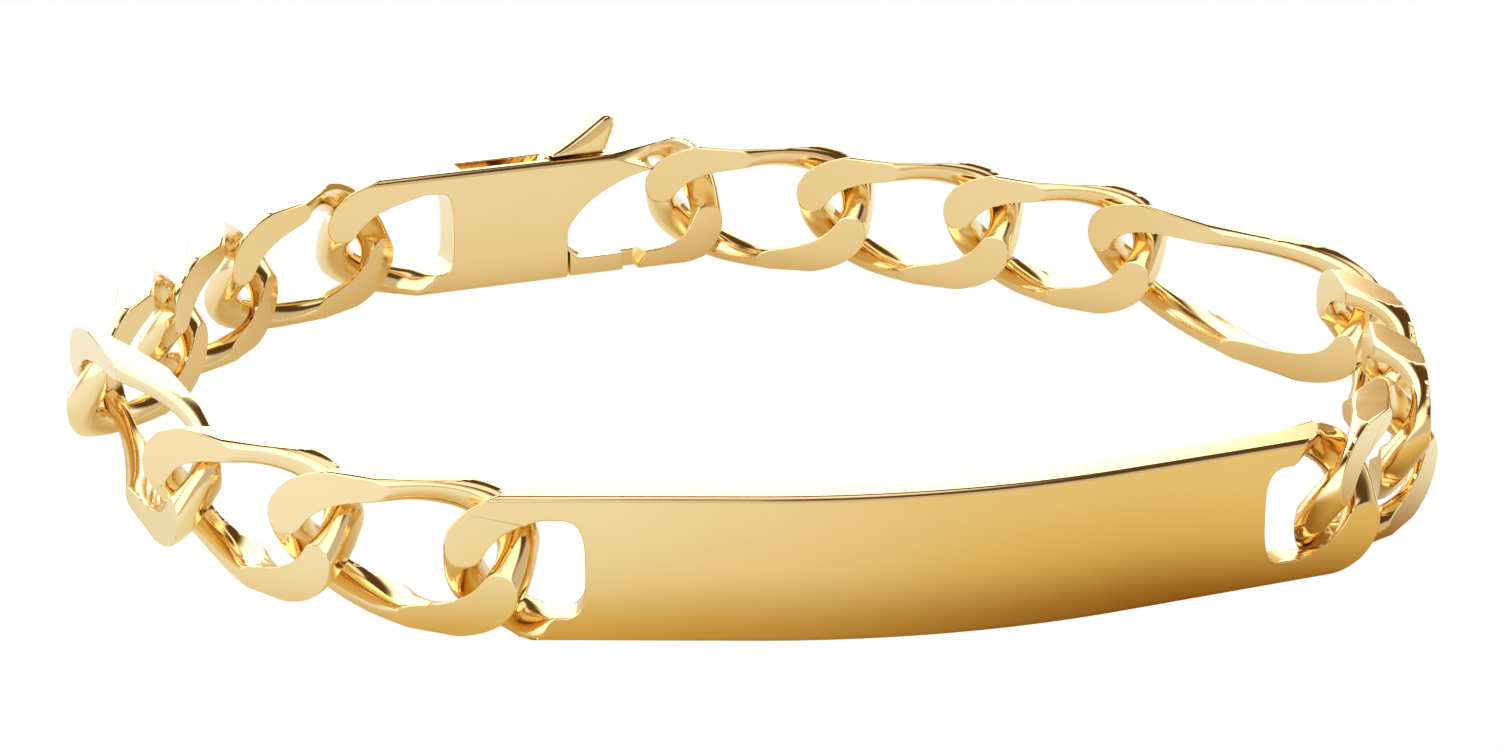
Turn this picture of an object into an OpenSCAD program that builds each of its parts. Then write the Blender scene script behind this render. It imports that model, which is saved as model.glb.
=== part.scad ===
// Identity bracelet: a bent plate, a figaro chain of flat-ground curb links and a lobster clasp.
// It stands on its edge. Z is up, the plate faces -Y, and the origin is at the centre of the
// bracelet's footprint on the surface that it stands on.

/* [Chain] */
// Height of the chain, plate and clasp, from edge to edge
chain_h = 7; // [6:0.1:8]
// Thickness to which the links are ground flat
chain_t = 2.3; // [2.1:0.05:2.5]
// Pitch of a short link, from joint to joint
short_pitch = 9; // [8.6:0.1:10]
// Pitch of a long link, from joint to joint
long_pitch = 16.6; // [14:0.1:20]
// Play between two links that hang in each other
play = 0.7; // [0.65:0.05:0.9]

/* [Wire] */
// Thickness of the wire across the link's face
wire_h = 1.75; // [1.6:0.05:1.8]
// Width of the wire through the link's thickness
wire_w = 2.1; // [1.9:0.05:2.15]
// How far the outer side of the wire stands past the ground edge before grinding
grind = 0.5; // [0.3:0.05:0.6]
// Twist of a link: how much its corners lean out of its plane for their height
twist = 0.9; // [0.8:0.02:1]
// Squareness of a link's round ends: 2 is an ellipse
roundness = 2.3; // [2.2:0.05:2.5]

/* [Plate] */
// Length of the plate between its two eyes, along its bend
plate_len = 32; // [28:0.5:38]
// Thickness of the plate
plate_t = 1.75; // [1.4:0.05:2.2]
// Radius of the bend, at the plate's face
plate_bend_r = 40; // [34:1:48]
// Angle of the bend
plate_bend_deg = 25; // [16:1:28]
// Width of the bevel along the plate's edges
plate_bevel = 0.22; // [0.1:0.02:0.4]
// Length of an eye's opening, from the plate to the wire
plate_eye_len = 4.7; // [4.5:0.1:6]
// Length of the round end of that opening, at the plate
plate_eye_round = 1.3; // [0.8:0.1:1.6]

/* [Clasp] */
// Distance from the joint in the clasp's eye to the joint in its hook
clasp_span = 19.8; // [19.2:0.1:22]
// Thickness of the clasp
clasp_t = 2.5; // [2.5:0.05:3]
// Width of the bevel along the clasp's edges
clasp_bevel = 0.25; // [0.1:0.05:0.4]
// Length of the closed eye's opening
clasp_eye_len = 5.8; // [5.2:0.1:6.4]
// Length of the round end of that opening
clasp_eye_round = 0.9; // [0.6:0.1:1.2]
// Length of the hook's opening
hook_len = 7.9; // [7.4:0.1:8.6]
// Width of the slot that the lever swings in
slot_w = 1.2; // [1.1:0.05:1.5]
// Distance from the slot's end to the closed eye's opening
slot_wall = 0.7; // [0.5:0.1:1]

/* [Lever] */
// Clearance between the lever and the clasp's slot and hook
lever_gap = 0.12; // [0.08:0.01:0.2]
// Diameter of the pin that the lever turns on
pin_d = 1.1; // [0.8:0.1:1.4]
// Radial clearance of the lever on its pin
pin_gap = 0.04; // [0.02:0.01:0.08]
// Radius of the lever's hub
hub_r = 1.5; // [1.3:0.1:1.6]
// Height of the pin's axis above the clasp's lower edge
pin_z = 2.9; // [2.7:0.1:3.2]
// Distance of the pin's axis from the hook's opening
pin_back = 2.85; // [2.6:0.05:3.2]
// Height of the gate bar
gate_h = 1; // [0.8:0.05:1.2]
// Length of the gate's thin tongue, which meets the hook
tongue_len = 0.9; // [0.6:0.1:1.2]
// Thickness of that tongue
tongue_t = 1.2; // [1:0.1:1.6]
// Height of the thumb tab above the clasp
tab_h = 2.35; // [1.8:0.05:2.8]
// Length of the thumb tab where it stands on the clasp
tab_len = 3.55; // [3:0.05:4]

/* [Hidden] */

// The route: each piece in turn, clockwise seen from above, from the plate's left eye.
// A heading is the direction of travel through the piece, counted from +X towards +Y.
NAME = 0;
KIND = 1;
HEADING = 2;
ROUTE = [
    ["short_link_01", "short", 155],
    ["short_link_02", "short", 138],
    ["long_link_1", "long", 112],
    ["short_link_03", "short", 74],
    ["short_link_04", "short", 72],
    ["short_link_05", "short", 53],
    ["clasp", "clasp", 23],
    ["short_link_06", "short", -13],
    ["short_link_07", "short", -24],
    ["short_link_08", "short", -31],
    ["long_link_2", "long", -51],
    ["short_link_09", "short", -84],
    ["short_link_10", "short", -93],
    ["short_link_11", "short", -119],
    ["id_plate", "plate", -168]
];

gold = [0.86, 0.68, 0.32];
// Height of the small step where a limb leaves its flat body
limb_step = 0.06;
// How much smaller the plate's bent middle is than its arms, and how far it reaches into them
seam = 0.01;
bend_overlap_deg = 0.7;
// Sides of round bodies, and of the plate's bend
fine = 32;
bend_sides = 96;
// Sides of a link seen from its face, and of its wire
link_sides = 16;
wire_sides = 6;
// Margin by which a cutting body reaches past what it cuts
past = 1;

// Distance from the hook's opening to the gate's tip, back to the tab's foot, and the tab's form
gate_len = 4.25;
tab_back = 1.1;
tab_lean = 0.65;
tab_tip_r = 0.45;
tab_hollow = 1.2;
gate_fillet = 1;
gate_peak = 1.8;
lever_w = 2.4;
// The lever's web: its lean at the hub, its foot on the gate, and its root in the tab
web_lean = 40;
web_foot = 1;
web_root = 0.3;
// Height of the hook opening's far point, and the run and curve of the jaw above it
hook_low = 2.6;
jaw_run = 5.4;
jaw_curve = 1.6;
// Height of the slot's shallow floor, and how far behind the pin's axis that floor ends
slot_floor = 6.2;
slot_back = 0.55;
pin_root = 0.3;

// The wire's centre line: its end reach past a joint, and its half height
end_reach = play / 2 + wire_h / 2;
limb_z = chain_h / 2 + grind - wire_h / 2;
end_a = short_pitch / 2 + end_reach;
// Half height of a link's opening
hole_z = limb_z - wire_h / 2;

// Powers that keep their sign, for rounded outlines
function signed_pow(v, e) = sign(v) * pow(abs(v), e);
function unit(v) = v / norm(v);
function sum(list, i = 0) = i == len(list) - 1 ? list[i] : list[i] + sum(list, i + 1);

// A point of a link's centre line. The end has the half length a, half_straight is half of the
// straight limb, and side says which end it is. The lean takes the corners out of the plane.
function line_at(t, a, half_straight, side) =
    let (x = a * signed_pow(cos(t), 2 / roundness) + side * half_straight,
         z = limb_z * signed_pow(sin(t), 2 / roundness))
    [x, twist * x / (a + half_straight) * z, z];

// A station of the wire: its centre, the directions across the face and through it, and its width
function station(t, a, half_straight, side) =
    let (d = 0.5,
         ahead = line_at(t + d, a, half_straight, side),
         behind = line_at(t - d, a, half_straight, side),
         along = unit(ahead - behind),
         across = unit(cross([0, 1, 0], along)))
    [line_at(t, a, half_straight, side), across, cross(along, across), wire_w];

// The stations of one end, from its lower limb round to its upper limb, or back
function end_stations(a, half_straight, side, skip = 0) =
    let (step = 360 / link_sides, first = side > 0 ? -90 : 90)
    [for (i = [skip : link_sides / 2 - skip]) station(first + i * step, a, half_straight, side)];

function link_stations(half_straight) =
    concat(end_stations(end_a, half_straight, 1),
           end_stations(end_a, half_straight, -1, half_straight > 0 ? 0 : 1));

// The stations of an eye on a flat body: the limbs start inside the body, no wider than it
function eye_stations(a, lead, body_y, body_t) =
    let (limb = function (side) [[-lead, body_y, side * limb_z], [0, 0, side], [0, -side, 0], body_t])
    concat([limb(-1)], end_stations(a, 0, 1), [limb(1)]);

// The corners of the wire's section at a station
function section(st) =
    [for (k = [0 : wire_sides - 1])
        let (f = (k + 0.5) * 360 / wire_sides)
        st[0] + wire_h / 2 * cos(f) / cos(180 / wire_sides) * st[1] + st[3] / 2 * sin(f) * st[2]];

// A wire swept along its stations, closed on itself or capped at both ends
module wire(stations, closed) {
    n = len(stations);
    m = wire_sides;
    sides = [
        for (i = [0 : (closed ? n : n - 1) - 1], k = [0 : m - 1])
            let (p = i * m, q = ((i + 1) % n) * m, k2 = (k + 1) % m)
            each [[p + k, q + k2, p + k2], [p + k, q + k, q + k2]]
    ];
    caps = closed ? [] : [
        [for (k = [0 : m - 1]) k],
        [for (k = [m - 1 : -1 : 0]) (n - 1) * m + k]
    ];
    polyhedron([for (st = stations) each section(st)], concat(sides, caps), convexity = 6);
}

// The section of a flat bar that stands on its edge, its face at y = face, with bevelled edges
function bar_section(face, t, bevel) =
    let (h = chain_h / 2)
    [[face, -h + bevel], [face + bevel, -h], [face + t - bevel, -h], [face + t, -h + bevel],
     [face + t, h - bevel], [face + t - bevel, h], [face + bevel, h], [face, h - bevel]];

// A flat bar along X, from x0 to x1
module bar(x0, x1, face, t, bevel) {
    translate([x0, 0, 0])
        rotate([90, 0, 90])
            linear_extrude(height = x1 - x0)
                polygon(bar_section(face, t, bevel));
}

// The round end of an opening, half_len long, as a body that cuts through y. It is a step lower
// than the opening between the limbs.
module opening_end(half_len, t) {
    points = [for (f = [0 : 360 / fine : 359])
        [half_len * signed_pow(cos(f), 2 / roundness),
         (hole_z - limb_step) * signed_pow(sin(f), 2 / roundness)]];
    rotate([90, 0, 0])
        linear_extrude(height = t + 2 * past, center = true)
            polygon(points);
}

// A curb link that lies along X, its middle at the origin
module link(pitch) {
    color(gold)
        intersection() {
            wire(link_stations((pitch - short_pitch) / 2), true);
            cube([pitch + 4 * wire_h, chain_t, chain_h], center = true);
        }
}

// The plate: an arc between two straight arms, each with an eye like half a curb link
plate_mid_r = plate_bend_r - chain_t / 2;
plate_half_bend = plate_bend_deg / 2;
plate_arc = plate_mid_r * plate_bend_deg * PI / 180;
plate_eye_a = plate_eye_len - plate_eye_round + wire_h / 2;
plate_eye_x = end_reach - plate_eye_a;
plate_arm = (plate_len - plate_arc) / 2 + plate_eye_len - play / 2;
plate_chord = 2 * (plate_mid_r * sin(plate_half_bend) + plate_arm * cos(plate_half_bend));
plate_sag = plate_mid_r * (1 - cos(plate_half_bend)) + plate_arm * sin(plate_half_bend);

// The section of the bent middle, a hair smaller than the arms
module offset_section(r) {
    section_t = plate_t - 2 * seam;
    translate([r, 0])
        scale(1 - 2 * seam / chain_h)
            polygon([for (p = bar_section(seam - chain_t / 2, section_t, plate_bevel)) [-p.x, p.y]]);
}

// One arm with its eye, its joint at the end of the chord. The rough arm and its eye are one
// solid before they are ground to the plate's edges and face.
module plate_arm() {
    face = -chain_t / 2;
    translate([plate_chord / 2, 0, 0])
        rotate([0, 0, plate_half_bend])
            intersection() {
                union() {
                    difference() {
                        translate([-plate_arm - past, face - past, -chain_h / 2 - past])
                            cube([plate_arm + plate_eye_x - limb_step + past, plate_t + past,
                                  chain_h + 2 * past]);
                        translate([plate_eye_x, 0, 0]) opening_end(plate_eye_round, chain_t);
                    }
                    translate([plate_eye_x, 0, 0])
                        wire(eye_stations(plate_eye_a, plate_eye_round, (plate_t - chain_t) / 2,
                                          plate_t - plate_bevel), false);
                }
                union() {
                    bar(-plate_arm, plate_eye_x - plate_eye_round, face, plate_t, plate_bevel);
                    bar(plate_eye_x - plate_eye_round - past, 2 * wire_h, face, chain_t, plate_bevel);
                }
            }
}

module plate() {
    color(gold) {
        // The bent middle reaches a little into both arms
        translate([0, plate_mid_r - plate_sag, 0])
            rotate([0, 0, -90 - plate_half_bend - bend_overlap_deg])
                rotate_extrude(angle = plate_bend_deg + 2 * bend_overlap_deg, $fn = bend_sides)
                    offset_section(plate_mid_r);
        plate_arm();
        rotate([0, 180, 0]) plate_arm();
    }
}

// The clasp lies along X with its eye towards +X. Places in it are counted from the eye's joint
// towards the hook, and up from its lower edge.
function from_eye(u) = clasp_span / 2 - u;
function up(z) = z - chain_h / 2;
eye_edge = clasp_eye_len - play / 2;
hook_edge = clasp_span + play / 2 - hook_len;
clasp_eye_x = from_eye(eye_edge - clasp_eye_round);
clasp_eye_a = from_eye(0) + end_reach - clasp_eye_x;
hook_x = from_eye(clasp_span + end_reach - end_a);
pin_u = hook_edge - pin_back;
gate_bottom = lever_gap;
gate_tip = hook_edge + gate_len;
tab_start = hook_edge - tab_back;
top = chain_h + past;

// A flat body through the clasp's thickness, from points counted from the eye's joint
module slab(points, t) {
    rotate([90, 0, 0])
        linear_extrude(height = t, center = true)
            polygon([for (p = points) [from_eye(p.x), up(p.y)]]);
}

// A quarter of a rounded outline, from the point that is furthest along X to the one along Y
function quarter(centre, size, e, steps = 8) =
    [for (i = [0 : steps])
        let (f = 90 * i / steps)
        [centre.x + size.x * pow(cos(f), 2 / e), centre.y + size.y * pow(sin(f), 2 / e)]];

// The clasp's flat body before it is ground, from the eye's opening to the jaw over the hook
module clasp_flat() {
    jaw = quarter([hook_edge + jaw_run, hook_low],
                  [-jaw_run, chain_h / 2 + hole_z - limb_step - hook_low], jaw_curve);
    body_start = eye_edge - clasp_eye_round + limb_step;
    points = concat(
        [[body_start, top], [body_start, -past], [hook_edge, -past]], jaw,
        [[hook_edge + jaw_run, top]]);
    difference() {
        slab(points, clasp_t - 2 * limb_step);
        translate([clasp_eye_x, 0, 0]) opening_end(clasp_eye_round, clasp_t);
    }
}

// The slot that the lever swings in, open at the top and below the gate
module slot() {
    room = hub_r + lever_gap;
    slot_end = tab_start + tab_len + lever_gap;
    slab([[eye_edge + slot_wall, top], [eye_edge + slot_wall, slot_floor],
          [pin_u - slot_back, slot_floor], [pin_u - room, pin_z], [pin_u, pin_z - room],
          [pin_u + room, -past], [slot_end, -past], [slot_end, top]], slot_w);
    translate([from_eye(pin_u), 0, up(pin_z)])
        rotate([90, 0, 0])
            cylinder(r = room, h = slot_w, center = true, $fn = fine);
}

module clasp_body() {
    tip_r = norm([gate_tip - pin_u, pin_z - gate_bottom]);
    lead = clasp_eye_round;
    color(gold) {
        difference() {
            intersection() {
                union() {
                    clasp_flat();
                    translate([clasp_eye_x, 0, 0])
                        wire(eye_stations(clasp_eye_a, lead, 0, wire_h), false);
                    // The hook, cut off where the gate meets it
                    difference() {
                        translate([hook_x, 0, 0])
                            rotate([0, 180, 0])
                                wire(eye_stations(end_a, lead, 0, wire_h), false);
                        // The gate's tip swings past the hook's end on an arc
                        intersection() {
                            translate([from_eye(pin_u), 0, up(pin_z)])
                                rotate([90, 0, 0])
                                    cylinder(r = tip_r + lever_gap, h = 2 * clasp_t, center = true,
                                             $fn = 2 * fine);
                            translate([-clasp_span, -clasp_t, -chain_h])
                                cube([2 * clasp_span, 2 * clasp_t, chain_h]);
                        }
                    }
                }
                bar(-clasp_span, clasp_span, -clasp_t / 2, clasp_t, clasp_bevel);
            }
            slot();
        }
        // The pin, which crosses the slot
        translate([from_eye(pin_u), 0, up(pin_z)])
            rotate([90, 0, 0])
                cylinder(d = pin_d, h = slot_w + 2 * pin_root, center = true, $fn = fine);
    }
}

// The lever: hub and web in the slot, gate bar and tongue across the hook, thumb tab on top
module clasp_lever() {
    gate_start = hook_edge + lever_gap;
    gate_top = gate_bottom + gate_h;
    tab_foot = chain_h + lever_gap;
    tab_end = tab_start + tab_len;
    web_t = slot_w - 2 * lever_gap;
    color(gold)
        difference() {
            union() {
                translate([from_eye(pin_u), 0, up(pin_z)])
                    rotate([90, 0, 0])
                        cylinder(r = hub_r, h = web_t, center = true, $fn = fine);
                slab([[pin_u - hub_r * cos(web_lean), pin_z + hub_r * sin(web_lean)], [pin_u, pin_z - hub_r],
                      [gate_start, gate_bottom], [gate_start + web_foot, gate_bottom],
                      [gate_start + web_foot, gate_top], [gate_start, gate_peak],
                      [pin_u + hub_r, pin_z + web_foot], [tab_end, chain_h],
                      [tab_end, tab_foot + web_root], [tab_start + web_foot, tab_foot + web_root],
                      [tab_start, chain_h]], web_t);
                slab(concat(quarter([gate_start + gate_fillet, gate_peak],
                                    [-gate_fillet, gate_top - gate_peak], 2),
                            [[gate_tip - tongue_len, gate_top], [gate_tip - tongue_len, gate_bottom],
                             [gate_start, gate_bottom]]), lever_w);
                slab([[gate_start, gate_bottom], [gate_tip, gate_bottom], [gate_tip, gate_top],
                      [gate_start, gate_top]], tongue_t);
                slab(tab_outline(tab_start, tab_end, tab_foot), lever_w);
            }
            translate([from_eye(pin_u), 0, up(pin_z)])
                rotate([90, 0, 0])
                    cylinder(d = pin_d + 2 * pin_gap, h = clasp_t, center = true, $fn = fine);
        }
}

// The thumb tab's outline: a slope that hollows as it rises, a round tip and a leaning end
function tab_outline(start, end, foot) =
    let (tip = [end + tab_lean - tab_tip_r, chain_h + tab_h - tab_tip_r],
         round_tip = [for (f = [-20 : 30 : 130]) tip + tab_tip_r * [cos(f), sin(f)]],
         crest = round_tip[len(round_tip) - 1])
    concat([[start, foot], [end, foot]], round_tip,
           [for (s = [0.75, 0.5, 0.25])
               [start + (crest.x - start) * s, foot + (crest.y - foot) * pow(s, tab_hollow)]]);

// Each piece's length from joint to joint
function length_of(kind) =
    kind == "long" ? long_pitch : kind == "plate" ? plate_chord :
    kind == "clasp" ? clasp_span : short_pitch;
LENGTHS = [for (row = ROUTE) length_of(row[KIND])];

// The headings are turned a little, each by its lever arm, until the loop closes
function closed(headings, tries) =
    tries == 0 ? headings :
    let (miss = sum([for (i = [0 : len(ROUTE) - 1])
                    LENGTHS[i] * [cos(headings[i]), sin(headings[i])]]),
         ss = sum([for (i = [0 : len(ROUTE) - 1]) LENGTHS[i] * pow(sin(headings[i]), 2)]),
         cc = sum([for (i = [0 : len(ROUTE) - 1]) LENGTHS[i] * pow(cos(headings[i]), 2)]),
         sc = sum([for (i = [0 : len(ROUTE) - 1])
                  LENGTHS[i] * sin(headings[i]) * cos(headings[i])]),
         det = ss * cc - sc * sc,
         a = (cc * miss.x + sc * miss.y) / det,
         b = (sc * miss.x + ss * miss.y) / det)
    closed([for (h = headings) h + (a * sin(h) - b * cos(h)) * 180 / PI], tries - 1);
HEADINGS = closed([for (row = ROUTE) row[HEADING]], 6);

// The joints between the pieces, in turn, and each piece's middle
function joints(i = 0, at = [0, 0]) =
    i == len(ROUTE) ? [] :
    concat([at], joints(i + 1, at + LENGTHS[i] * [cos(HEADINGS[i]), sin(HEADINGS[i])]));
JOINTS = joints();
MIDDLES = [for (i = [0 : len(ROUTE) - 1])
    JOINTS[i] + LENGTHS[i] / 2 * [cos(HEADINGS[i]), sin(HEADINGS[i])]];

// The outline of a piece seen from above, for the centre of the footprint
function ground_points(stations) =
    [for (st = stations, p = section(st)) [p.x, max(-chain_t / 2, min(chain_t / 2, p.y))]];
function outline(kind) =
    kind == "plate" ? [for (f = [-plate_half_bend : plate_half_bend / 8 : plate_half_bend])
                          [plate_bend_r * sin(f), plate_mid_r - plate_sag - plate_bend_r * cos(f)]] :
    kind == "clasp" ? concat(
        [for (p = ground_points(end_stations(clasp_eye_a, 0, 1))) p + [clasp_eye_x, 0]],
        [for (p = ground_points(end_stations(end_a, 0, 1))) [hook_x - p.x, p.y]]) :
    ground_points(link_stations((length_of(kind) - short_pitch) / 2));
function turned(p, angle) = [p.x * cos(angle) - p.y * sin(angle), p.x * sin(angle) + p.y * cos(angle)];
FOOTPRINT = [for (i = [0 : len(ROUTE) - 1], p = outline(ROUTE[i][KIND]))
    MIDDLES[i] + turned(p, HEADINGS[i] + 180)];
footprint_x = [for (p = FOOTPRINT) p.x];
footprint_y = [for (p = FOOTPRINT) p.y];
centre = [max(footprint_x) + min(footprint_x), max(footprint_y) + min(footprint_y)] / 2;

// Puts a piece in its place in the loop: its outer side faces outwards
module placed(name) {
    for (i = [0 : len(ROUTE) - 1])
        if (ROUTE[i][NAME] == name)
            translate([each MIDDLES[i] - centre, chain_h / 2])
                rotate([0, 0, HEADINGS[i] + 180])
                    children();
}

placed("id_plate") plate();  // id_plate
placed("clasp") clasp_body();
placed("clasp") clasp_lever();
placed("long_link_1") link(long_pitch);  // long_link_1
placed("long_link_2") link(long_pitch);  // long_link_2
placed("short_link_01") link(short_pitch);  // short_link_01
placed("short_link_02") link(short_pitch);  // short_link_02
placed("short_link_03") link(short_pitch);  // short_link_03
placed("short_link_04") link(short_pitch);  // short_link_04
placed("short_link_05") link(short_pitch);  // short_link_05
placed("short_link_06") link(short_pitch);  // short_link_06
placed("short_link_07") link(short_pitch);  // short_link_07
placed("short_link_08") link(short_pitch);  // short_link_08
placed("short_link_09") link(short_pitch);  // short_link_09
placed("short_link_10") link(short_pitch);  // short_link_10
placed("short_link_11") link(short_pitch);  // short_link_11
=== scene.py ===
import math

import bpy
from mathutils import Matrix, Vector


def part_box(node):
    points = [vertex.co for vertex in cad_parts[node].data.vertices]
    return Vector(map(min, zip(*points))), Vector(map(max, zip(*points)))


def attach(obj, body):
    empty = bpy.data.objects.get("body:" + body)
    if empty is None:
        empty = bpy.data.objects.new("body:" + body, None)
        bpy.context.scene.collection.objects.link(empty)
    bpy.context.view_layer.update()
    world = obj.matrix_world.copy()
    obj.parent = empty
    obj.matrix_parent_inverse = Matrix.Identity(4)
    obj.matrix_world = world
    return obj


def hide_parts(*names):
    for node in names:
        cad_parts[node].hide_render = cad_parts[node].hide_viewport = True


# Id bracelet, standing on its edge: the polished form and finish of each piece, the studio
# light and the camera. A piece is made in millimetres as it would lie on the bench, with its
# outer side up (Z), its upper edge towards Y and the chain running along X. It is then stood
# up in metres where its node stands, and takes the node's place.

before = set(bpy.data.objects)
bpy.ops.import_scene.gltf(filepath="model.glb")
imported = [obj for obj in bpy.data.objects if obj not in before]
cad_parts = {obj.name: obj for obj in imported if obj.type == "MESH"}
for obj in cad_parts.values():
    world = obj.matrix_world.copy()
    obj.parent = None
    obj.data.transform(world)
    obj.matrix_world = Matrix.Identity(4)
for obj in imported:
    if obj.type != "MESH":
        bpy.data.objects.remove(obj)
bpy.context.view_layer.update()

# A millimetre in metres
MM = 0.001

# Chain: height, ground thickness, pitches and the play between two links
CHAIN_H = 7.0
CHAIN_T = 2.3
SHORT_PITCH = 9.0
LONG_PITCH = 16.6
PLAY = 0.7

# Wire: its height at a link's end and its width through the link, the squareness of its
# section, and how far the corners at a link's end lean out of its plane per height
WIRE_H = 1.75
WIRE_W = 2.1
WIRE_SQUARE = 2.5
TWIST = 0.85

# Squareness of the outlines, outside and inside, where 2 is an ellipse and more is squarer: of
# eyes and short links, of long links, and of the end of an eye's opening at its flat body
ROUNDNESS = 2.75
HOLE_ROUNDNESS = 1.9
LONG_ROUNDNESS = 3.2
LONG_HOLE_ROUNDNESS = 2.35
SQUARE_END = 3.2

# Half heights of a ring before it is ground, and of the openings of a link, an eye and the hook
RING_TOP = 3.68
RING_HOLE = 2.35
EYE_HOLE = 2.35
HOOK_HOLE = 2.4

# Plate: length between the eyes, thickness, bend, and an eye's opening with the reach of its
# square end
PLATE_LEN = 32.0
PLATE_T = 1.75
PLATE_BEND_R = 40.0
PLATE_BEND = math.radians(25)
PLATE_EYE_LEN = 4.7
PLATE_EYE_ROUND = 1.3

# Clasp: joint to joint, thickness, and the eye's opening with the reach of its square end
CLASP_SPAN = 19.8
CLASP_T = 2.5
CLASP_EYE_LEN = 5.8
CLASP_EYE_ROUND = 0.9

# Hook: length of its opening, height of the jaw's deepest point, reach of the jaw and its
# squareness above and below that point, and how far the hook's end leans per height
HOOK_LEN = 7.9
HOOK_LOW = 2.6
JAW_RUN = 5.4
JAW_CURVE = 1.6
JAW_SQUARE = 8.0
HOOK_LEAN = 0.3

# Slot for the lever: width, wall to the eye, floor, and how far before the pin the floor ends
SLOT_W = 1.2
SLOT_WALL = 0.7
SLOT_FLOOR = 6.2
SLOT_BACK = 0.55

# Lever: clearance and width, and the pin with its play, length and place, and the hub on it
LEVER_GAP = 0.12
LEVER_W = 2.4
PIN_D = 1.1
PIN_GAP = 0.04
PIN_LEN = 1.9
PIN_Z = 2.9
PIN_BACK = 2.85
HUB_R = 1.5

# Gate bar with its fillet and its thin tongue
GATE_H = 1.0
GATE_LEN = 4.25
GATE_PEAK = 1.8
GATE_FILLET = 1.0
TONGUE_LEN = 0.9
TONGUE_T = 1.2

# Thumb tab: height, length, start, lean of its end, its round tip with the angles that it
# runs between, and the exponent that hollows its slope, which is drawn in so many steps
TAB_H = 2.35
TAB_LEN = 3.55
TAB_BACK = 1.1
TAB_LEAN = 0.65
TAB_TIP_R = 0.45
TAB_TIP_FROM = -20
TAB_TIP_TO = 130
TAB_HOLLOW = 1.2
TAB_STEPS = 8

# Web of the lever: the angle at which it leaves the hub, the length of its foot in the gate,
# which it also keeps from the pin and from the tab's start, and its root in the tab
WEB_LEAN = math.radians(40)
WEB_FOOT = 1.0
WEB_ROOT = 0.3

# Rounding of the polished edges: of a link's edges, of the plate's and the clasp's, and the
# larger ones along the chain, the plate and the clasp, each ground in so many steps
FINE_EDGE = 0.06
SOFT_EDGE = 0.07
CHAIN_EDGE = 0.16
PLATE_EDGE = 0.36
CLASP_EDGE = 0.42
EDGE_STEPS = 4

# Edges that turn by more than this are polished round
EDGE_ANGLE = math.radians(34)

# How far a limb takes to turn from its flat body's section into wire, where that starts in the
# hook's opening, what stands proud of the flats before grinding, and a rough body's length
LIMB_TURN = 2.2
HOOK_TURN = -2.0
PROUD = 0.08
ROUGH_LEN = 40.0

# How finely a piece is made: stations round a link, sides of its wire, steps of half the
# plate's bend, of the gate's fillet and of the tab's round tip, and sides of a round post
LINK_STEPS = 128
WIRE_STEPS = 32
BEND_STEPS = 14
FILLET_STEPS = 24
TIP_STEPS = 15
ROUND_STEPS = 96

# Radius of the raw ring that links and eyes are shaped from, in radii of its wire
RAW_RING = 2

# Casting: grain, and the strokes that smooth the whole lever and, before that, its tab
GRAIN = 0.07
STROKES = 4
TAB_STROKES = 200

# How far a cutting shape reaches past a piece, and how near to each other corners are welded:
# of the plate and the clasp, of a link, and of a shape before it is cut or cast
PAST = 1.0
WELD = 0.012
LINK_WELD = 0.03
SLAB_WELD = 1e-4

# How near to a grinding plane a corner counts as on it, and how level the normal of an upright
# face has to be
ON_PLANE = 1e-5
UPRIGHT = 1e-3

# Gold: deep and light tone, and roughness
CHAIN_GOLD = ((0.93, 0.73, 0.39), (0.95, 0.76, 0.43), 0.08)
PLATE_GOLD = ((0.93, 0.72, 0.38), (0.95, 0.75, 0.42), 0.12)
CLASP_GOLD = ((0.93, 0.73, 0.39), (0.95, 0.76, 0.43), 0.1)

# The colour of the white tent's light, of the brown flag at its right, and of the dusk overhead
TENT = (1.0, 0.97, 0.91)
FLAG = (1.0, 0.7, 0.25)
DUSK = (0.10, 0.05, 0.015)

# Strength of the light: behind the bracelet, in front of it, of the strip at the front left and
# of the lamp in the top, and the share that the flag takes away
BACK_LIGHT = 2.15
FRONT_LIGHT = 0.55
STRIP_LIGHT = 1.5
TOP_LIGHT = 1.1
FLAG_SHARE = 0.85

# Floor: size and drop below the bracelet's foot, and the loop's half width and half depth on it
FLOOR_SIZE = 3
FLOOR_DROP = 0.02 * MM
LOOP_X = 34 * MM
LOOP_Y = 30 * MM

# In shares of the loop's half sizes: where the chain's foot runs, and where the painted shade
# inside gives way to the painted shade outside. The painted shade fades to its last colour in one
# over the last of these numbers of a share.
FOOT = 0.96
RIM_START = 0.93
RIM_END = 0.99
PAINTED_SHADE_FADE = 1.55

# Painted shade and bounce light on the floor as the gold mirrors it, from the chain's foot
# outwards: in front of the plate's left and right end, at the left of the loop, and inside it. Each
# is a painted contact shadow with painted warm bounce from the gold, dark at the foot and paler
# out.
FRONT_LEFT_PAINTED_SHADE = [
    (0.05, (0.62, 0.40, 0.10)),
    (0.2, (0.72, 0.53, 0.19)),
    (0.5, (0.88, 0.84, 0.64)),
    (0.9, (0.93, 0.93, 0.88)),
]
FRONT_RIGHT_PAINTED_SHADE = [
    (0.05, (0.18, 0.07, 0.01)),
    (0.2, (0.36, 0.18, 0.03)),
    (0.5, (0.75, 0.57, 0.22)),
    (0.9, (0.84, 0.71, 0.42)),
]
LEFT_PAINTED_LIGHT = [(0.0, (0.88, 0.82, 0.62)), (0.4, (0.95, 0.98, 0.98)), (1.0, (1.0, 1.02, 1.06))]
INSIDE_PAINTED_SHADE = [(0.0, (0.62, 0.44, 0.20)), (0.4, (0.85, 0.78, 0.62)), (1.0, (0.90, 0.86, 0.77))]

# Camera: place in millimetres, dip below level in degrees, and lens and sensor in millimetres
CAMERA_AT = (0.53, -213.4, 75.47)
CAMERA_DIP = 18.86
CAMERA_LENS = 105
CAMERA_SENSOR = 36

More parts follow.
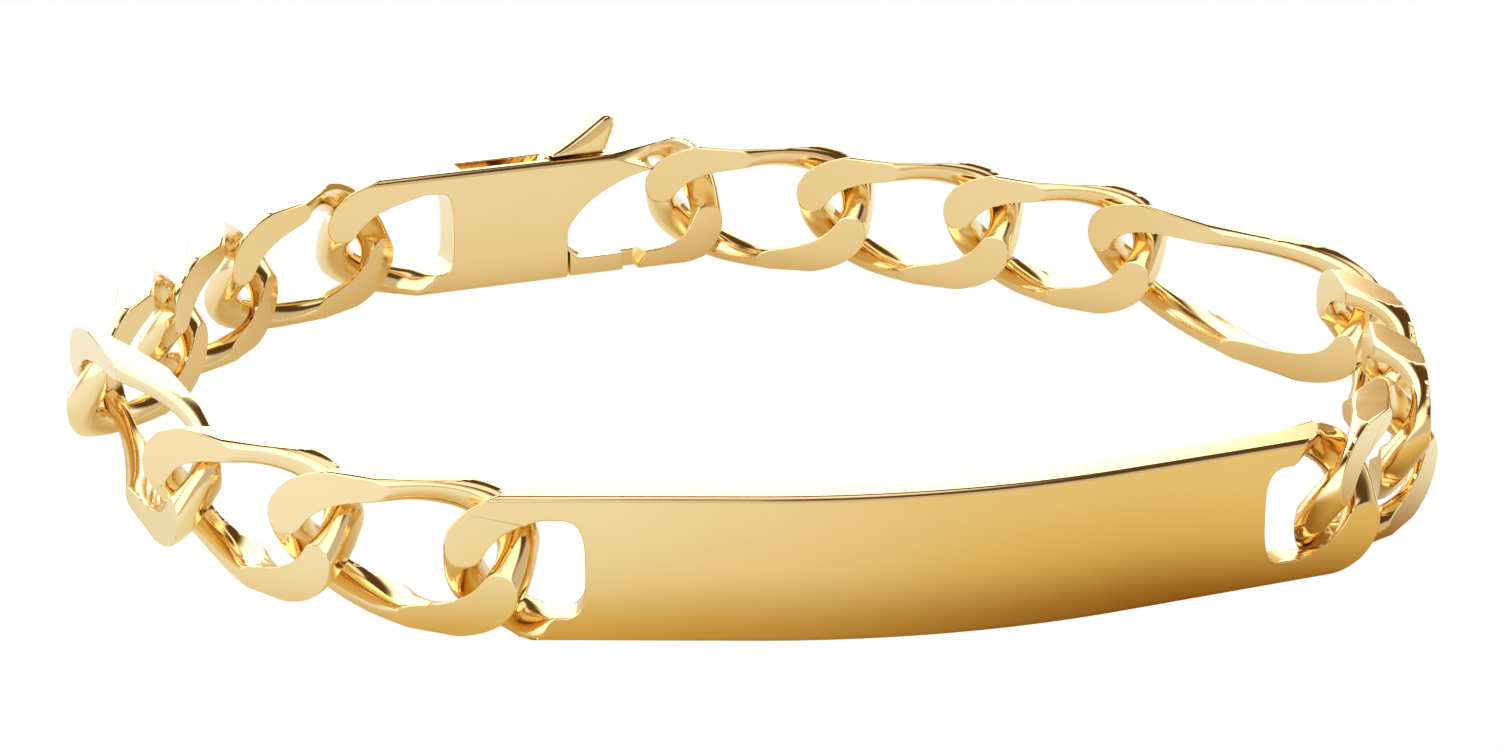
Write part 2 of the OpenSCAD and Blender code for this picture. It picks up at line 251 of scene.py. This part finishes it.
# Worked out from the above
PLATE_MID_R = PLATE_BEND_R - CHAIN_T / 2
PLATE_EYE_IN = PLATE_EYE_LEN - PLATE_EYE_ROUND
PLATE_EYE_X = PLAY / 2 - PLATE_EYE_IN
PLATE_ARM = (PLATE_LEN - PLATE_MID_R * PLATE_BEND) / 2 + PLATE_EYE_LEN - PLAY / 2
PLATE_CHORD = 2 * (PLATE_MID_R * math.sin(PLATE_BEND / 2) + PLATE_ARM * math.cos(PLATE_BEND / 2))
PLATE_SAG = PLATE_MID_R * (1 - math.cos(PLATE_BEND / 2)) + PLATE_ARM * math.sin(PLATE_BEND / 2)
EYE_EDGE = CLASP_EYE_LEN - PLAY / 2
HOOK_EDGE = CLASP_SPAN + PLAY / 2 - HOOK_LEN
PIN_U = HOOK_EDGE - PIN_BACK
GATE_TIP = HOOK_EDGE + GATE_LEN
TAB_START = HOOK_EDGE - TAB_BACK
TAB_END = TAB_START + TAB_LEN
TAB_FOOT = CHAIN_H + LEVER_GAP


def only(piece):
    """Selects one piece alone and makes it the active one."""
    bpy.ops.object.select_all(action="DESELECT")
    piece.select_set(True)
    bpy.context.view_layer.objects.active = piece


def modify(piece, kind, **settings):
    """Puts one modifier on a piece and applies it."""
    modifier = piece.modifiers.new(kind.lower(), kind)
    for name, value in settings.items():
        setattr(modifier, name, value)
    only(piece)
    bpy.ops.object.modifier_apply(modifier=modifier.name)


def copy_of(piece):
    """A copy of a piece, with its own mesh."""
    copied = piece.copy()
    copied.data = piece.data.copy()
    bpy.context.scene.collection.objects.link(copied)
    return copied


def join(piece, other):
    """Lays another body beside a piece, in one mesh."""
    only(piece)
    other.select_set(True)
    bpy.ops.object.join()


def cut(piece, tool):
    """Cuts a tool's shape out of a piece, and takes the tool away."""
    modify(piece, "BOOLEAN", object=tool, operation="DIFFERENCE", solver="EXACT")
    bpy.data.objects.remove(tool)


def fuse(piece, other):
    """Solders another body to a piece."""
    modify(piece, "BOOLEAN", object=other, operation="UNION", solver="EXACT")
    bpy.data.objects.remove(other)


def cast(piece, strokes, *others):
    """Casts bodies that overlap as one, and smooths their edges with so many strokes."""
    for other in others:
        join(piece, other)
    modify(piece, "REMESH", mode="VOXEL", voxel_size=GRAIN)
    modify(piece, "SMOOTH", factor=0.5, iterations=strokes)


def clean(piece, reach):
    """Welds corners that lie together and turns every face outwards."""
    only(piece)
    bpy.ops.object.mode_set(mode="EDIT")
    bpy.ops.mesh.select_all(action="SELECT")
    bpy.ops.mesh.remove_doubles(threshold=reach)
    bpy.ops.mesh.normals_make_consistent(inside=False)
    bpy.ops.object.mode_set(mode="OBJECT")


def grind(piece, place, facing, closed=True):
    """Grinds a piece flat to a plane, and closes the flat."""
    only(piece)
    bpy.ops.object.mode_set(mode="EDIT")
    bpy.ops.mesh.select_all(action="SELECT")
    bpy.ops.mesh.bisect(
        plane_co=place, plane_no=facing, use_fill=closed, clear_outer=True, threshold=ON_PLANE
    )
    bpy.ops.object.mode_set(mode="OBJECT")


def grind_all(piece, low, high):
    """Grinds a piece to the chain's height and to the flats at low and high."""
    grind(piece, (0, 0, high), (0, 0, 1))
    grind(piece, (0, 0, low), (0, 0, -1))
    grind(piece, (0, CHAIN_H / 2, 0), (0, 1, 0))
    grind(piece, (0, -CHAIN_H / 2, 0), (0, -1, 0))


def round_long_edges(piece, radius, *levels):
    """Grinds the long edges of a flat piece round where they meet its flats at the levels."""
    for level in levels:
        outer = math.copysign(1, level)
        for side in (1, -1):
            for step in range(1, EDGE_STEPS):
                angle = math.pi / 2 * step / EDGE_STEPS
                facing = Vector((0, side * math.sin(angle), outer * math.cos(angle)))
                corner = Vector((0, side * (CHAIN_H / 2 - radius), level - outer * radius))
                grind(piece, corner + radius * facing, facing)


def soften(piece, low, high, width, reach=WELD):
    """Polishes the sharp edges of a piece round, within the chain's edges and the piece's flats."""
    clean(piece, reach)
    modify(
        piece,
        "BEVEL",
        width=width,
        segments=3,
        limit_method="ANGLE",
        angle_limit=EDGE_ANGLE,
        use_clamp_overlap=False,
    )
    for corner in piece.data.vertices:
        corner.co.y = min(CHAIN_H / 2, max(-CHAIN_H / 2, corner.co.y))
        corner.co.z = min(high, max(low, corner.co.z))


def slab(name, outline, thickness):
    """A flat body with the outline, on both sides of the bench's mid plane."""
    line = bpy.data.curves.new(name, "CURVE")
    line.dimensions = "2D"
    line.fill_mode = "BOTH"
    line.extrude = thickness / 2
    spline = line.splines.new("POLY")
    spline.points.add(len(outline) - 1)
    for corner, place in zip(spline.points, outline):
        corner.co = (*place, 0, 1)
    spline.use_cyclic_u = True
    piece = bpy.data.objects.new(name, line)
    bpy.context.scene.collection.objects.link(piece)
    only(piece)
    bpy.ops.object.convert(target="MESH")
    clean(piece, SLAB_WELD)
    return piece


def post(radius, depth, place):
    """A round post that stands on the bench's mid plane at a place."""
    bpy.ops.mesh.primitive_cylinder_add(
        vertices=ROUND_STEPS, radius=radius, depth=depth, location=place
    )
    bpy.ops.object.transform_apply(location=True, rotation=False, scale=False)
    return bpy.context.object


def shift(piece, x=0.0, turn=0.0, axis="Z"):
    """Turns a piece about an axis of the bench and then moves it along the chain."""
    piece.data.transform(Matrix.Translation((x, 0, 0)) @ Matrix.Rotation(turn, 4, axis))


def blend(first, second, share):
    """Between two numbers, by a share."""
    return first + (second - first) * share


def smooth_share(value):
    """From 0 to 1 as the value does, with a soft start and end."""
    value = min(1, max(0, value))
    return value * value * (3 - 2 * value)


def signed_power(value, exponent):
    """A power that keeps the value's sign, for rounded outlines."""
    return math.copysign(abs(value) ** exponent, value)


def oval(half_x, half_y, angle, roundness):
    """A point of a rounded outline at an angle."""
    power = 2 / roundness
    return (
        half_x * signed_power(math.cos(angle), power),
        half_y * signed_power(math.sin(angle), power),
    )


def uneven_oval(left, right, half_y, roundness, left_roundness=None):
    """An outline whose left and right half have their own reach and squareness."""

    def point(angle):
        if math.cos(angle) < 0:
            return oval(left, half_y, angle, left_roundness or roundness)
        return oval(right, half_y, angle, roundness)

    return point


def arc(centre, half_x, half_y, start, end, steps):
    """The points of an arc of an ellipse between two angles in degrees."""
    points = []
    for step in range(steps + 1):
        x, y = oval(half_x, half_y, math.radians(blend(start, end, step / steps)), 2)
        points.append((centre[0] + x, centre[1] + y))
    return points


def ring(name, outside, inside, flat=None, turn_from=0.0):
    """A ring of wire between two outlines, whose corners lean out of its plane.

    An outline gives a point for an angle. Where flat is given, the ring's left part is a flat
    body between those two levels, and right of turn_from its limbs turn into wire."""
    bpy.ops.mesh.primitive_torus_add(
        major_segments=LINK_STEPS, minor_segments=WIRE_STEPS, major_radius=RAW_RING, minor_radius=1
    )
    piece = bpy.context.object
    piece.name = name
    reach = (outside(0)[0] + inside(0)[0]) / 2
    for corner in piece.data.vertices:
        x, y, through = corner.co
        angle = math.atan2(y, x)
        across = math.hypot(x, y) - RAW_RING
        far_x, far_y = outside(angle)
        near_x, near_y = inside(angle)
        middle_x, middle_y = (far_x + near_x) / 2, (far_y + near_y) / 2
        middle_z = -TWIST * (middle_x - turn_from) / (reach - turn_from) * middle_y
        half = WIRE_W / 2
        edge = max(abs(across), abs(through))
        square = (across / edge, through / edge)
        across, through = oval(1, 1, math.atan2(through, across), WIRE_SQUARE)
        if flat:
            share = smooth_share(1 - (middle_x - turn_from) / LIMB_TURN)
            across = blend(across, square[0], share)
            through = blend(through, square[1], share)
            middle_z = blend(middle_z, sum(flat) / 2, share)
            half = blend(half, (flat[1] - flat[0]) / 2, share)
        corner.co = (
            middle_x + across * (far_x - near_x) / 2,
            middle_y + across * (far_y - near_y) / 2,
            middle_z + through * half,
        )
    return piece


def link(name, pitch, roundness, hole_roundness):
    """A curb link: a twisted ring of wire, ground flat on four sides."""
    inner = (pitch + PLAY) / 2
    outer = inner + WIRE_H
    made = ring(
        name,
        uneven_oval(outer, outer, RING_TOP, roundness),
        uneven_oval(inner, inner, RING_HOLE, hole_roundness),
    )
    grind_all(made, -CHAIN_T / 2, CHAIN_T / 2)
    round_long_edges(made, CHAIN_EDGE, -CHAIN_T / 2, CHAIN_T / 2)
    soften(made, -CHAIN_T / 2, CHAIN_T / 2, FINE_EDGE, LINK_WELD)
    return made


def eye(name, square_end, inner, flat):
    """A rough flat body with half a curb link as its eye. The opening reaches inner to the
    right and square_end to the left."""
    return ring(
        name,
        uneven_oval(ROUGH_LEN, inner + WIRE_H, RING_TOP, ROUNDNESS),
        uneven_oval(square_end, inner, EYE_HOLE, HOLE_ROUNDNESS, SQUARE_END),
        flat,
    )


def half_plate(name):
    """One arm of the plate with its eye, and the half of the bend that joins it."""
    face = CHAIN_T / 2
    arm = eye(name, PLATE_EYE_ROUND, PLATE_EYE_IN, (face - PLATE_T, face + PROUD))
    shift(arm, PLATE_EYE_X)
    grind_all(arm, -face, face)
    round_long_edges(arm, PLATE_EDGE, face)
    grind(arm, (-PLATE_ARM, 0, 0), (-1, 0, 0), closed=False)
    bpy.ops.object.mode_set(mode="EDIT")
    bpy.ops.mesh.select_mode(type="EDGE")
    bpy.ops.mesh.select_all(action="DESELECT")
    bpy.ops.object.mode_set(mode="OBJECT")
    corners = arm.data.vertices
    for edge in arm.data.edges:
        edge.select = all(corners[i].co.x < WELD - PLATE_ARM for i in edge.vertices)
    bpy.ops.object.mode_set(mode="EDIT")
    bpy.ops.mesh.spin(
        steps=BEND_STEPS,
        angle=PLATE_BEND / 2,
        center=(-PLATE_ARM, 0, -PLATE_MID_R),
        axis=(0, 1, 0),
    )
    bpy.ops.object.mode_set(mode="OBJECT")
    shift(arm, turn=PLATE_BEND / 2, axis="Y")
    shift(arm, PLATE_CHORD / 2)
    return arm


def plate(name):
    """The plate: two equal halves, the second turned end for end, welded in the middle."""
    whole = half_plate(name)
    other = copy_of(whole)
    shift(other, turn=math.pi)
    join(whole, other)
    soften(whole, -PLATE_SAG, PLATE_SAG + CHAIN_T / 2, SOFT_EDGE)
    return whole


def from_eye(outline):
    """Moves an outline to the bench from its places along the clasp, which are counted from
    the eye's joint and up from the lower edge."""
    return [(CLASP_SPAN / 2 - u, z - CHAIN_H / 2) for u, z in outline]


def pin_place():
    """The middle of the lever's pin on the bench."""
    return (*from_eye([(PIN_U, PIN_Z)])[0], 0)


def hook_inside(angle):
    """The hook's opening: a round end on the right, and on the left the jaw, here upside down."""
    if math.cos(angle) >= 0:
        return oval(CLASP_SPAN + PLAY / 2 - HOOK_EDGE - JAW_RUN, HOOK_HOLE, angle, HOLE_ROUNDNESS)
    low = CHAIN_H / 2 - HOOK_LOW
    if math.sin(angle) < 0:
        x, y = oval(JAW_RUN, low + HOOK_HOLE, angle, JAW_CURVE)
    else:
        x, y = oval(JAW_RUN, HOOK_HOLE - low, angle, JAW_SQUARE)
    return x, y + low


def rough_hook(name):
    """The hook before it is ground: half a curb link on a flat body, cut open for the gate."""
    level = CLASP_T / 2 + 2 * PROUD
    tip = CLASP_SPAN + PLAY / 2 + WIRE_H - HOOK_EDGE - JAW_RUN
    outside = uneven_oval(ROUGH_LEN, tip, RING_TOP + PROUD, ROUNDNESS)
    hook = ring(name, outside, hook_inside, (-level, level), HOOK_TURN)
    shift(hook, turn=math.pi)
    shift(hook, CLASP_SPAN / 2 - HOOK_EDGE - JAW_RUN)
    grind(hook, (PAST, 0, 0), (1, 0, 0))
    end_low = (GATE_TIP + LEVER_GAP - PAST * HOOK_LEAN, -PAST)
    end_high = (GATE_TIP + LEVER_GAP + HOOK_LOW * HOOK_LEAN, HOOK_LOW)
    gateway = from_eye([(HOOK_EDGE, HOOK_LOW), (HOOK_EDGE, -PAST), end_low, end_high])
    cut(hook, slab("gateway", gateway, 4 * CLASP_T))
    return hook


def lever_slot(name):
    """The room for the lever: open at the top, round about the hub, and open below."""
    room = HUB_R + LEVER_GAP
    end = TAB_END + LEVER_GAP
    slot = slab(
        name,
        from_eye(
            [
                (EYE_EDGE + SLOT_WALL, CHAIN_H + PAST),
                (EYE_EDGE + SLOT_WALL, SLOT_FLOOR),
                (PIN_U - SLOT_BACK, SLOT_FLOOR),
                (PIN_U - room, PIN_Z),
                (PIN_U, PIN_Z - room),
                (PIN_U + room, -PAST),
                (end, -PAST),
                (end, CHAIN_H + PAST),
            ]
        ),
        SLOT_W,
    )
    fuse(slot, post(room, SLOT_W, pin_place()))
    return slot


def clasp_body(name):
    """The clasp: a flat body with a closed eye, an open hook, and a slot with a pin across it."""
    half_t = CLASP_T / 2
    body_start = EYE_EDGE - CLASP_EYE_ROUND
    body = eye(name, CLASP_EYE_ROUND, body_start + PLAY / 2, (-half_t - PROUD, half_t + PROUD))
    shift(body, CLASP_SPAN / 2 - body_start)
    grind(body, (-PAST, 0, 0), (-1, 0, 0))
    fuse(body, rough_hook("hook"))
    grind_all(body, -half_t, half_t)
    round_long_edges(body, CLASP_EDGE, -half_t, half_t)
    cut(body, lever_slot("slot"))
    fuse(body, post(PIN_D / 2, PIN_LEN, pin_place()))
    soften(body, -half_t, half_t, SOFT_EDGE)
    return body


def tab_outline():
    """The thumb tab: a slope that hollows as it rises, a round tip and a leaning end."""
    tip = (TAB_END + TAB_LEAN - TAB_TIP_R, CHAIN_H + TAB_H - TAB_TIP_R)
    outline = [(TAB_START, TAB_FOOT), (TAB_END, TAB_FOOT)]
    outline += arc(tip, TAB_TIP_R, TAB_TIP_R, TAB_TIP_FROM, TAB_TIP_TO, TIP_STEPS)
    crest = outline[-1]
    for step in range(TAB_STEPS - 1, 0, -1):
        share = step / TAB_STEPS
        outline.append(
            (
                TAB_START + (crest[0] - TAB_START) * share,
                TAB_FOOT + (crest[1] - TAB_FOOT) * share**TAB_HOLLOW,
            )
        )
    return outline


def clasp_lever(name):
    """The lever: a web and hub in the slot, a gate bar with a tongue, and the thumb tab."""
    start = HOOK_EDGE + LEVER_GAP
    low = LEVER_GAP
    high = low + GATE_H
    web_t = SLOT_W - 2 * LEVER_GAP
    web = slab(
        name,
        from_eye(
            [
                (PIN_U - HUB_R * math.cos(WEB_LEAN), PIN_Z + HUB_R * math.sin(WEB_LEAN)),
                (PIN_U, PIN_Z - HUB_R),
                (start, low),
                (start + WEB_FOOT, low),
                (start + WEB_FOOT, high),
                (start, GATE_PEAK),
                (PIN_U + HUB_R, PIN_Z + WEB_FOOT),
                (TAB_END, CHAIN_H),
                (TAB_END, TAB_FOOT + WEB_ROOT),
                (TAB_START + WEB_FOOT, TAB_FOOT + WEB_ROOT),
                (TAB_START, CHAIN_H),
            ]
        ),
        web_t,
    )
    hub = post(HUB_R, web_t, pin_place())
    bar_end = GATE_TIP - TONGUE_LEN
    fillet_at = (start + GATE_FILLET, GATE_PEAK)
    bar = arc(fillet_at, -GATE_FILLET, high - GATE_PEAK, 0, 90, FILLET_STEPS)
    bar += [(bar_end, high), (bar_end, low), (start, low)]
    gate = slab("gate", from_eye(bar), LEVER_W)
    tongue_corners = [(start, low), (GATE_TIP, low), (GATE_TIP, high), (start, high)]
    tongue = slab("tongue", from_eye(tongue_corners), TONGUE_T)
    tab = slab("tab", from_eye(tab_outline()), LEVER_W)
    cast(tab, TAB_STROKES)
    cast(web, STROKES, hub, gate, tongue, tab)
    cut(web, post(PIN_D / 2 + PIN_GAP, CLASP_T, pin_place()))
    return web


def walls(node):
    """A node's upright faces."""
    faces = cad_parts[node].data.polygons
    return [face for face in faces if abs(face.normal.z) < UPRIGHT]


def extent(node, axis):
    """How far a node reaches along an axis, in metres."""
    along = [corner.co.dot(axis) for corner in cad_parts[node].data.vertices]
    return min(along), max(along)


def seat_of(node):
    """The place of a node: the matrix that stands a piece up there, from the bench.

    It faces the mean way of the widest outer wall at each end of the node."""
    low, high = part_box(node)
    centre = (low + high) / 2
    outwards = Vector((centre.x, centre.y, 0)).normalized()
    outer_walls = [face for face in walls(node) if face.normal.dot(outwards) > 0]
    side = outwards.cross(Vector((0, 0, 1)))
    out = Vector()
    for sign in (1, -1):
        at_end = [face for face in outer_walls if sign * (face.center - centre).dot(side) > 0]
        out += max(at_end, key=lambda face: face.area).normal
    out.z = 0
    out.normalize()
    along = out.cross(Vector((0, 0, -1)))
    reach = extent(node, along)
    depth = extent(node, out)
    middle = sum(reach) / 2 * along + sum(depth) / 2 * out
    # The bent plate's bench middle isn't half its depth, so it is counted from its outer face
    if node == "id_plate":
        middle += (depth[1] - (PLATE_SAG + CHAIN_T / 2) * MM - sum(depth) / 2) * out
    middle.z = CHAIN_H / 2 * MM
    turn = Matrix((along, (0, 0, 1), out)).transposed().to_4x4()
    return Matrix.Translation(middle) @ turn @ Matrix.Scale(MM, 4)


def put(piece, node, seat, body, material):
    """Stands a piece up at its seat, in place of the node, with its finish."""
    piece.data.transform(seat)
    piece.name = "polished_" + node
    piece.data.name = piece.name
    piece.data.materials.clear()
    piece.data.materials.append(material)
    only(piece)
    bpy.ops.object.shade_smooth()
    modify(piece, "WEIGHTED_NORMAL", mode="FACE_AREA", weight=100, keep_sharp=False)
    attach(piece, body)
    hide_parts(node)


class Value:
    """A socket of a node, with which sums can be written."""

    def __init__(self, board, socket):
        self.board = board
        self.socket = socket

    def math(self, operation, first, second):
        return self.board.node("Math", {"operation": operation}, {0: first, 1: second})

    def __add__(self, other):
        return self.math("ADD", self, other)

    __radd__ = __add__

    def __sub__(self, other):
        return self.math("SUBTRACT", self, other)

    def __rsub__(self, other):
        return self.math("SUBTRACT", other, self)

    def __mul__(self, other):
        return self.math("MULTIPLY", self, other)

    __rmul__ = __mul__

    def __pow__(self, other):
        return self.math("POWER", self, other)


class Board:
    """The nodes of a material or of the world."""

    def __init__(self, owner):
        owner.use_nodes = True
        self.tree = owner.node_tree
        self.tree.nodes.clear()

    def node(self, kind, settings=None, inputs=None, output=0):
        """Adds a node: its settings first, then the values or links of its sockets."""
        made = self.tree.nodes.new("ShaderNode" + kind)
        for name, value in (settings or {}).items():
            if name == "stops":
                ramp = made.color_ramp.elements
                while len(ramp) < len(value):
                    ramp.new(0.5)
                for stop, (place, colour) in zip(ramp, value):
                    stop.position = place
                    stop.color = (*colour, 1)
            else:
                setattr(made, name, value)
        for name, value in (inputs or {}).items():
            if isinstance(value, Value):
                self.tree.links.new(value.socket, made.inputs[name])
            else:
                made.inputs[name].default_value = value
        if made.outputs:
            return Value(self, made.outputs[output])
        return made


def gold_finish(name, deep, light, roughness):
    """Polished yellow gold: faint drifts of tone, hairlines from wear and a soft ripple. The
    scales count a pattern's repeats in a metre."""
    material = bpy.data.materials.new(name)
    board = Board(material)
    place_at = board.node("TexCoord", output="Object")
    drift = board.node("TexNoise", inputs={"Vector": place_at, "Scale": 140, "Detail": 2})
    hair_at = board.node("Mapping", inputs={"Vector": place_at, "Scale": (300, 900, 9000)})
    hair = board.node("TexNoise", inputs={"Vector": hair_at, "Scale": 1, "Detail": 3})
    ripple = board.node("TexNoise", inputs={"Vector": place_at, "Scale": 420, "Detail": 1})
    colour = board.node("ValToRGB", {"stops": [(0.3, deep), (0.7, light)]}, {"Fac": drift})
    rough = roughness + 0.04 * drift + 0.03 * hair
    height = 0.6 * ripple + 0.4 * hair
    bump = board.node("Bump", inputs={"Height": height, "Strength": 0.04, "Distance": 0.02 * MM})
    surface = board.node(
        "BsdfPrincipled",
        inputs={"Base Color": colour, "Roughness": rough, "Metallic": 1.0, "Normal": bump},
    )
    board.node("OutputMaterial", inputs={"Surface": surface})
    return material


def rise(value, low, high):
    """From 0 at low to 1 at high, softly."""
    return value.board.node(
        "MapRange",
        {"interpolation_type": "SMOOTHSTEP"},
        {"Value": value, "From Min": low, "From Max": high},
    )


def mix(share, first, second):
    """Between two colours, by a share."""
    return share.board.node("MixRGB", inputs={"Fac": share, "Color1": first, "Color2": second})


def seen_or_not(board, seen, unseen):
    """One shader for what the camera sees itself, another for what the gold mirrors."""
    by_camera = board.node("LightPath", output="Is Camera Ray")
    return board.node("MixShader", inputs={0: by_camera, 1: unseen, 2: seen})


def light_tent():
    """A white tent round the bracelet, with a dim roof, a lamp in its top, a strip of light at
    the front left and a brown flag at the back right. The camera sees plain white. A place on
    it is told by how far right, back and up it lies, each from -1 to 1."""
    world = bpy.data.worlds.new("studio")
    bpy.context.scene.world = world
    board = Board(world)
    towards = board.node("TexCoord", output="Generated")
    right, back, up = (
        board.node("SeparateXYZ", inputs={0: towards}, output=axis) for axis in range(3)
    )
    behind = rise(back, 0.0, 0.5)
    low_band = 1 - rise(up, 0.5, 0.72)
    strip = rise(-0.6 * right - 0.55 * back + 0.55 * up, 0.72, 0.92)
    flag = rise(2 * right + up, 0.535, 0.585) * (1 - rise(up, 0.34, 0.4)) * behind
    wall = BACK_LIGHT * behind * low_band * (1 - FLAG_SHARE * flag)
    front = FRONT_LIGHT * (1 - behind) * low_band
    strength = wall + front + STRIP_LIGHT * strip + TOP_LIGHT * rise(up, 0.92, 0.97)
    colour = board.node("ValToRGB", {"stops": [(0, TENT), (1, FLAG)]}, {"Fac": flag})
    tent = board.node("Background", inputs={"Color": colour, "Strength": strength})
    dusk = board.node("Background", inputs={"Color": (*DUSK, 1), "Strength": 1.0})
    light = board.node("AddShader", inputs={0: tent, 1: dusk})
    white = board.node("Background", inputs={"Color": (1, 1, 1, 1), "Strength": 1.0})
    board.node("OutputWorld", inputs={"Surface": seen_or_not(board, white, light)})


def floor_with_painted_shade():
    """A plain floor. The camera sees it white, and the gold mirrors it with painted shade and
    painted
    light: a painted contact shadow with warm painted bounce from the gold at the chain's foot,
    browner in front of the plate and there towards the right."""
    bpy.ops.mesh.primitive_plane_add(size=FLOOR_SIZE, location=(0, 0, -FLOOR_DROP))
    floor = bpy.context.object
    floor.name = "floor"
    paper = bpy.data.materials.new("floor_with_painted_shade")
    board = Board(paper)
    spot = board.node("TexCoord", output="Object")
    x, y = (board.node("SeparateXYZ", inputs={0: spot}, output=axis) for axis in range(2))
    from_middle = ((x * (1 / LOOP_X)) ** 2 + (y * (1 / LOOP_Y)) ** 2) ** 0.5
    from_chain = board.node("Math", {"operation": "ABSOLUTE"}, {0: from_middle - FOOT})
    shade_front_left, shade_front_right, left, inside = (
        board.node("ValToRGB", {"stops": stops}, {"Fac": from_chain * PAINTED_SHADE_FADE})
        for stops in (FRONT_LEFT_PAINTED_SHADE, FRONT_RIGHT_PAINTED_SHADE, LEFT_PAINTED_LIGHT, INSIDE_PAINTED_SHADE)
    )
    front = mix(rise(x, -14 * MM, 24 * MM), shade_front_left, shade_front_right)
    plate_shade_mask = rise(x, -26 * MM, -12 * MM) * rise(-1.0 * y, 6 * MM, 18 * MM)
    outside = mix(plate_shade_mask, left, front)
    painted_floor_shade = mix(rise(from_middle, RIM_START, RIM_END), inside, outside)
    # The floor's tint is emitted, not lit: a painted shadow at the chain's foot and painted gold
    # bounce, seen only in what the gold mirrors
    painted_shade_and_bounce = board.node("Emission", inputs={"Color": painted_floor_shade, "Strength": 1.0})
    white = board.node("Emission", inputs={"Color": (1, 1, 1, 1), "Strength": 1.0})
    board.node("OutputMaterial", inputs={"Surface": seen_or_not(board, white, painted_shade_and_bounce)})
    floor.data.materials.append(paper)


def camera():
    """The camera at the photograph's angle and distance."""
    lens = bpy.data.cameras.new("camera")
    lens.sensor_width = CAMERA_SENSOR
    lens.lens = CAMERA_LENS
    lens.clip_start = 0.01
    lens.clip_end = 10
    stand = bpy.data.objects.new("camera", lens)
    stand.location = [place * MM for place in CAMERA_AT]
    stand.rotation_euler = (math.radians(90 - CAMERA_DIP), 0, 0)
    bpy.context.scene.collection.objects.link(stand)
    bpy.context.scene.camera = stand
    bpy.context.scene.view_settings.view_transform = "Standard"


def bracelet():
    """Every piece of the bracelet, each at the place of its node. The lever's place is the
    clasp's, since both are drawn about the clasp's middle."""
    seats = {node: seat_of(node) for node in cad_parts}
    chain_gold = gold_finish("chain_gold", *CHAIN_GOLD)
    plate_gold = gold_finish("plate_gold", *PLATE_GOLD)
    clasp_gold = gold_finish("clasp_gold", *CLASP_GOLD)
    patterns = {
        "short": link("short_pattern", SHORT_PITCH, ROUNDNESS, HOLE_ROUNDNESS),
        "long": link("long_pattern", LONG_PITCH, LONG_ROUNDNESS, LONG_HOLE_ROUNDNESS),
    }
    for node in sorted(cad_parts):
        if "link" in node:
            copied = copy_of(patterns[node.split("_")[0]])
            put(copied, node, seats[node], "bracelet", chain_gold)
    for pattern in patterns.values():
        bpy.data.objects.remove(pattern)
    clasp_seat = seats["clasp_body"]
    put(plate("plate"), "id_plate", seats["id_plate"], "bracelet", plate_gold)
    put(clasp_body("clasp"), "clasp_body", clasp_seat, "bracelet", clasp_gold)
    put(clasp_lever("lever"), "clasp_lever", clasp_seat, "lever", clasp_gold)


camera()
light_tent()
floor_with_painted_shade()
bracelet()
